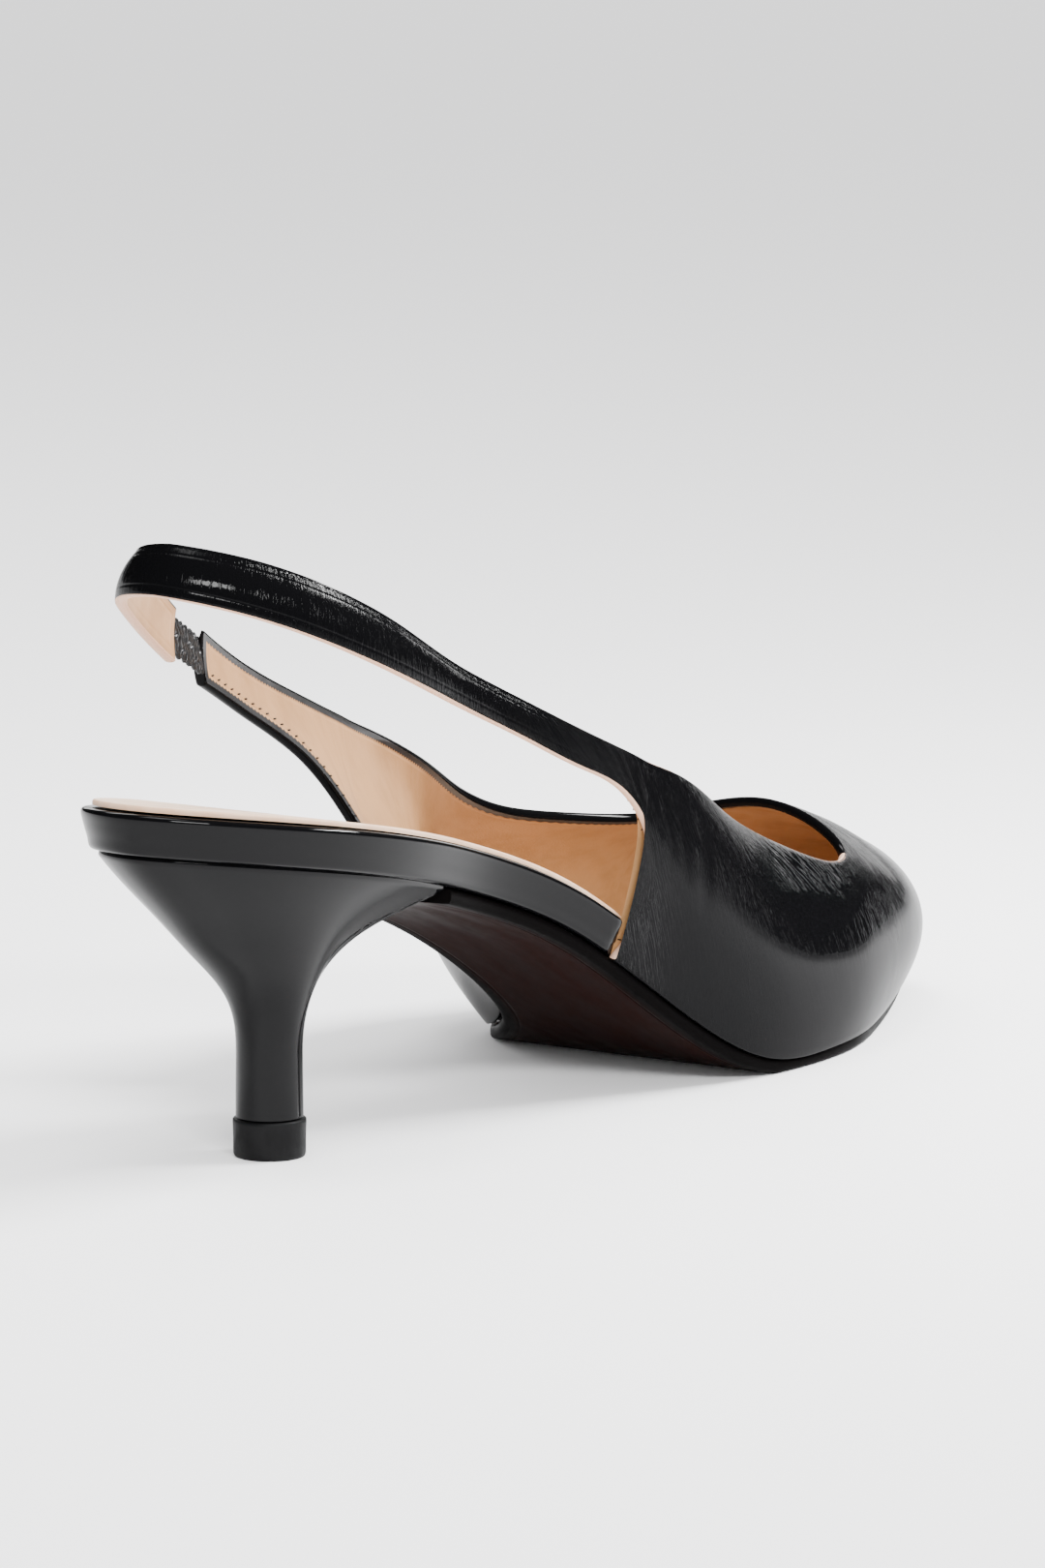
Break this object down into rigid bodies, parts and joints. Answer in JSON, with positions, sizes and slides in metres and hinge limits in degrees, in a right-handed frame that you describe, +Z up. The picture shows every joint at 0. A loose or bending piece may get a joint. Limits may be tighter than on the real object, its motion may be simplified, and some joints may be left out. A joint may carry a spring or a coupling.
{
  "type": "slingback pump",
  "caption": "Right slingback pump with a pointed toe, low vamp, open waist, elasticated heel strap and slim kitten heel; stands empty on its sole.",
  "frame": {"origin": "middle of the top lift's underside, on the floor", "axes": "+X points to the toe, +Y to the inner side of the foot, +Z up"},
  "size_m": [0.2416, 0.0811, 0.1057],
  "materials": {
    "black_patent": "high gloss patent, softly creased",
    "beige_leather": "matte sock and lining leather",
    "dark_sole_leather": "satin",
    "black_rubber": "matte",
    "black_elastic": "gathered elastic web"
  },
  "bodies": {
    "root": {"top_lift": "black_rubber", "heel": "black_patent", "outsole": "dark_sole_leather", "covered_insole": "black_patent", "sock": "beige_leather", "upper": "black_patent", "elastic": "black_elastic"}
  },
  "joints": []
}
